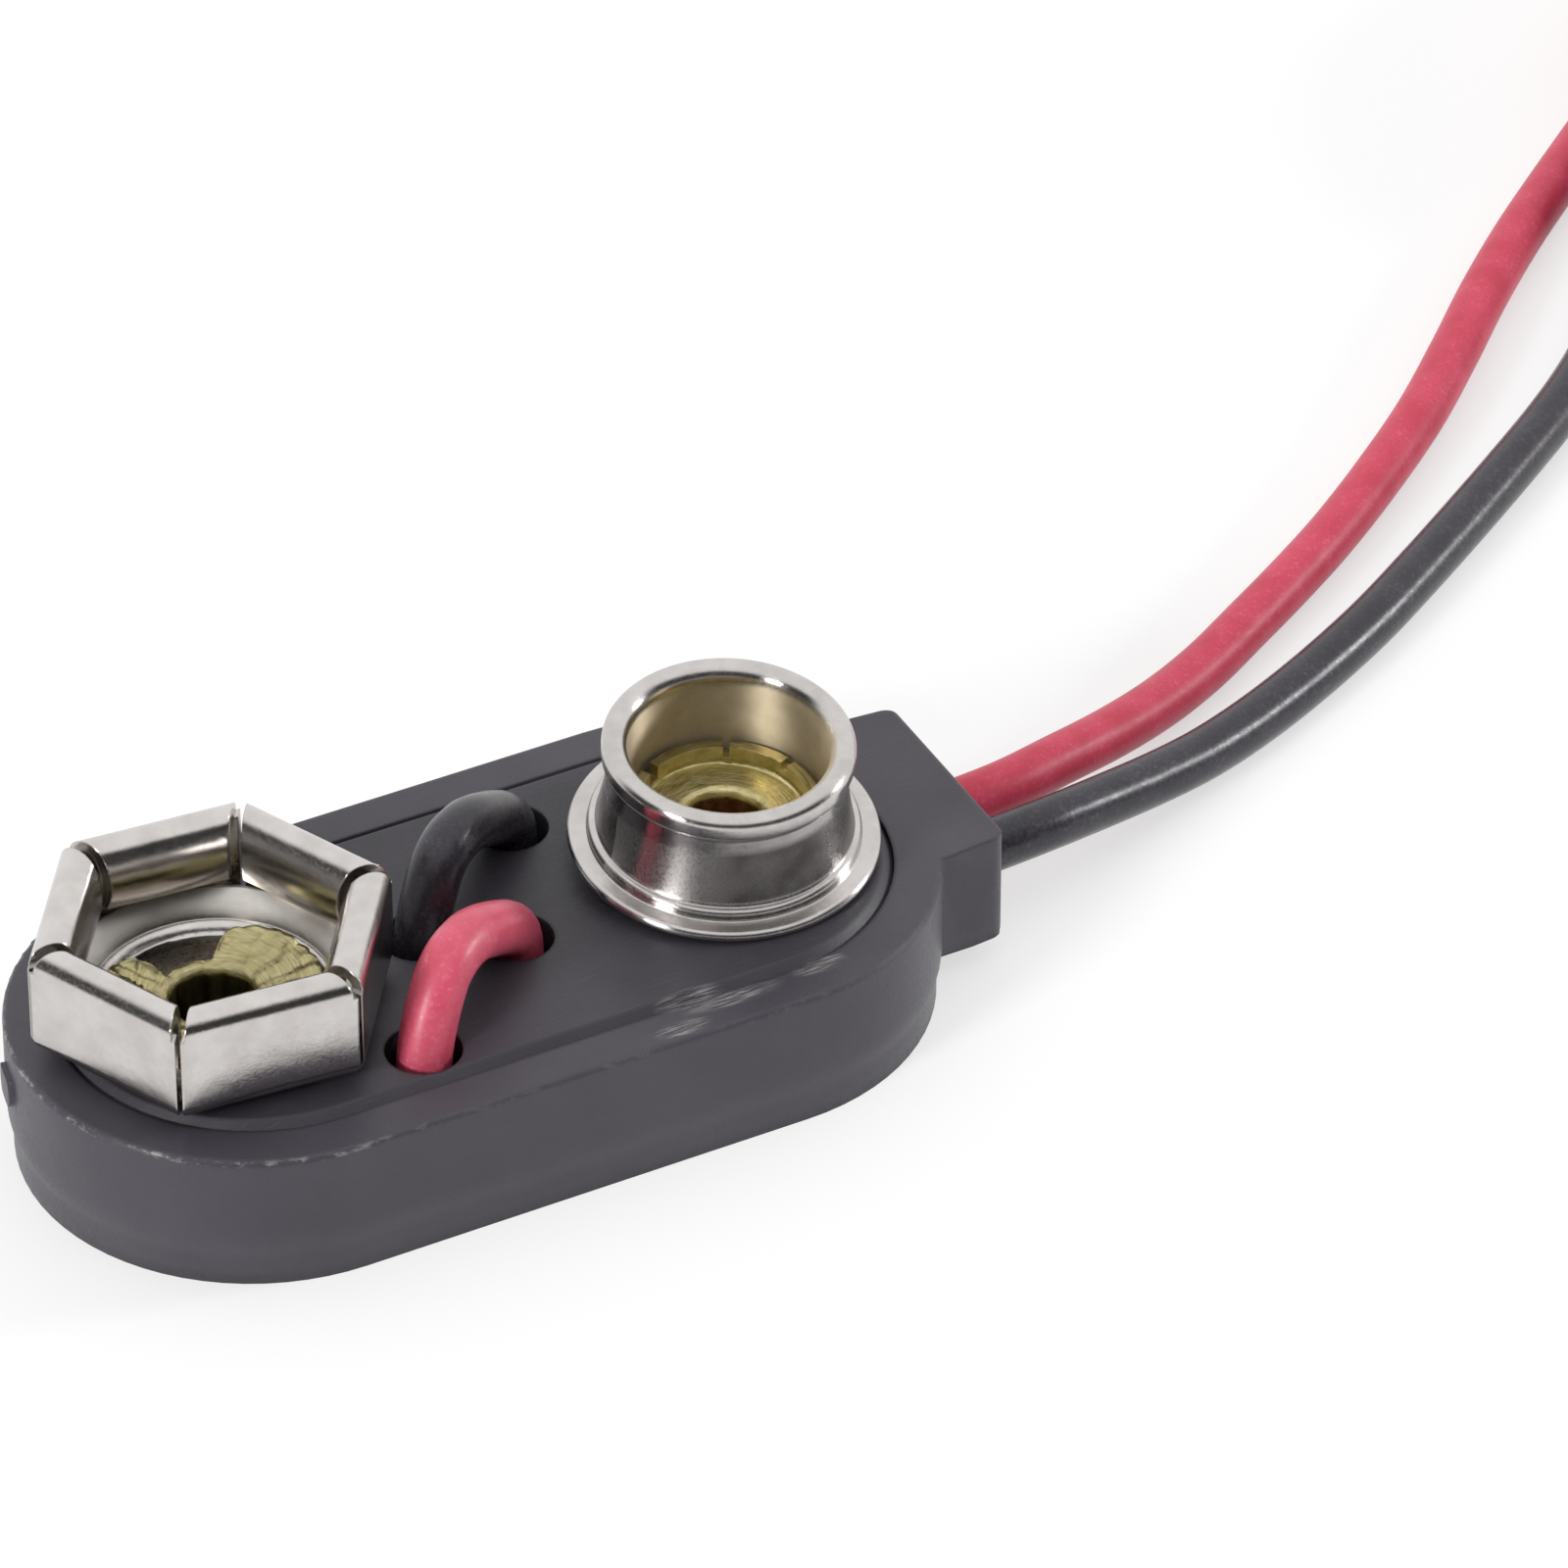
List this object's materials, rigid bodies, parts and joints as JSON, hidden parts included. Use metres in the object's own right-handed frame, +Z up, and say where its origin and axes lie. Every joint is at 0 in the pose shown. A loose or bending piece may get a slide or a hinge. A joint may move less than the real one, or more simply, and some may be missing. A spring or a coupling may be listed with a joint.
{
  "type": "battery snap connector",
  "caption": "Slim moulded snap connector for a block battery, with a petal socket, an open stud and a red and a black lead that hoop over the terminal plate.",
  "frame": {"origin": "on the underside, in the middle of the body's length and width, without the free leads", "axes": "+X along the body towards the lead block, +Y across it, +Z up from the underside to the terminals"},
  "size_m": [0.0698, 0.0312, 0.0072],
  "materials": {
    "housing": "satin moulded plastic",
    "plate": "satin moulded plastic, scuffed",
    "nickel": "bright nickel plating on pressed sheet",
    "brass": "bare brass, slightly dull",
    "solder": "tin solder",
    "copper": "stranded copper",
    "red_insulation": "satin soft insulation",
    "black_insulation": "satin soft insulation",
    "tie": "plastic-coated wire strip"
  },
  "bodies": {
    "root": {"housing": "housing", "terminal_plate": "plate", "socket_contact": "nickel", "stud_contact": "nickel", "socket_eyelet": "brass", "stud_eyelet": "brass", "socket_solder": "solder", "stud_solder": "solder", "red_core": "copper", "black_core": "copper", "red_hoop": "red_insulation", "black_hoop": "black_insulation", "red_lead": "red_insulation", "black_lead": "black_insulation", "lead_coil": "black_insulation", "coil_tie": "tie", "red_tip": "solder", "black_tip": "solder"}
  },
  "joints": []
}
